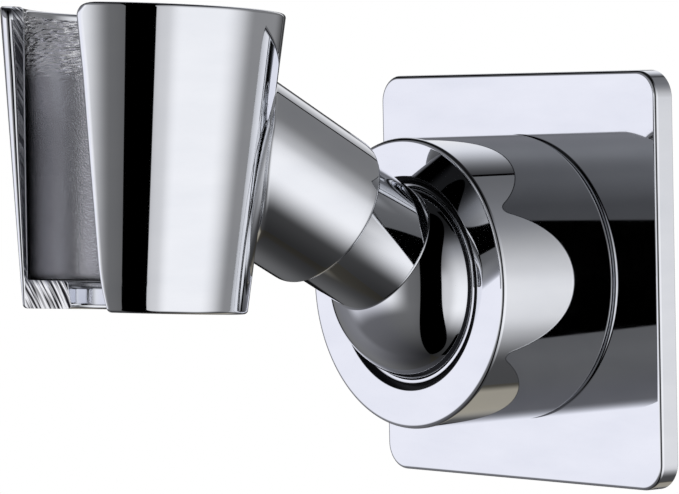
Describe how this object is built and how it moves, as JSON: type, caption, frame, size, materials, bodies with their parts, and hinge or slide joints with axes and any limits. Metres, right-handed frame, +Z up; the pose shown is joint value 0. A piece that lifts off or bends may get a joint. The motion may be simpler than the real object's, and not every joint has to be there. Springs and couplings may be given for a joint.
{
  "type": "hand shower holder",
  "caption": "Wall-mounted hand shower holder: square plate, ball joint under a round collar nut, short arm and a tapered cup slotted for the hose",
  "frame": {"origin": "middle of the square plate's back face, on the wall", "axes": "+Z up the wall, +Y into the wall along its normal, +X along the wall; the holder reaches out towards -Y"},
  "size_m": [0.06, 0.0887, 0.0704],
  "materials": {
    "plate_chrome": "polished chrome plate on brass sheet",
    "collar_chrome": "polished chrome plate on turned brass",
    "stem_chrome": "polished chrome plate on turned brass",
    "cup_chrome": "polished chrome plate on a zinc casting, satin inside",
    "base_plastic": "dark moulded nylon, fine matt",
    "seat_plastic": "natural acetal, smooth matt",
    "gasket_rubber": "black sealing rubber",
    "cushion_rubber": "black sealing rubber",
    "seal_rubber": "black sealing rubber",
    "screw_steel": "plain stainless steel"
  },
  "bodies": {
    "wall_base": {"escutcheon": "plate_chrome", "mounting_base": "base_plastic", "base_gasket": "gasket_rubber", "seat_cushion": "cushion_rubber"},
    "collar": {"collar_nut": "collar_chrome", "front_seat": "seat_plastic", "collar_seal": "seal_rubber"},
    "ball_seat": {"rear_seat": "seat_plastic"},
    "stem": {"ball_stem": "stem_chrome", "stem_oring": "seal_rubber", "thrust_washer": "seat_plastic"},
    "cup": {"cup_holder": "cup_chrome", "swivel_screw": "screw_steel", "screw_washer": "screw_steel", "lock_washer": "screw_steel"}
  },
  "joints": [
    {"name": "collar_turn", "type": "hinge", "parent": "wall_base", "child": "collar", "pos_m": [0, -0.0203, 0], "axis": [0, -1, 0], "range_deg": [0, 90]},
    {"name": "ball_turn", "type": "hinge", "parent": "wall_base", "child": "ball_seat", "pos_m": [0, -0.0203, 0], "axis": [0, -1, 0], "continuous": true},
    {"name": "arm_tilt", "type": "hinge", "parent": "ball_seat", "child": "stem", "pos_m": [0, -0.0203, 0], "axis": [1, 0, 0], "range_deg": [-3, 61]},
    {"name": "cup_swivel", "type": "hinge", "parent": "stem", "child": "cup", "pos_m": [0, -0.0203, 0], "axis": [0, -0.8746, 0.4848], "continuous": true}
  ]
}
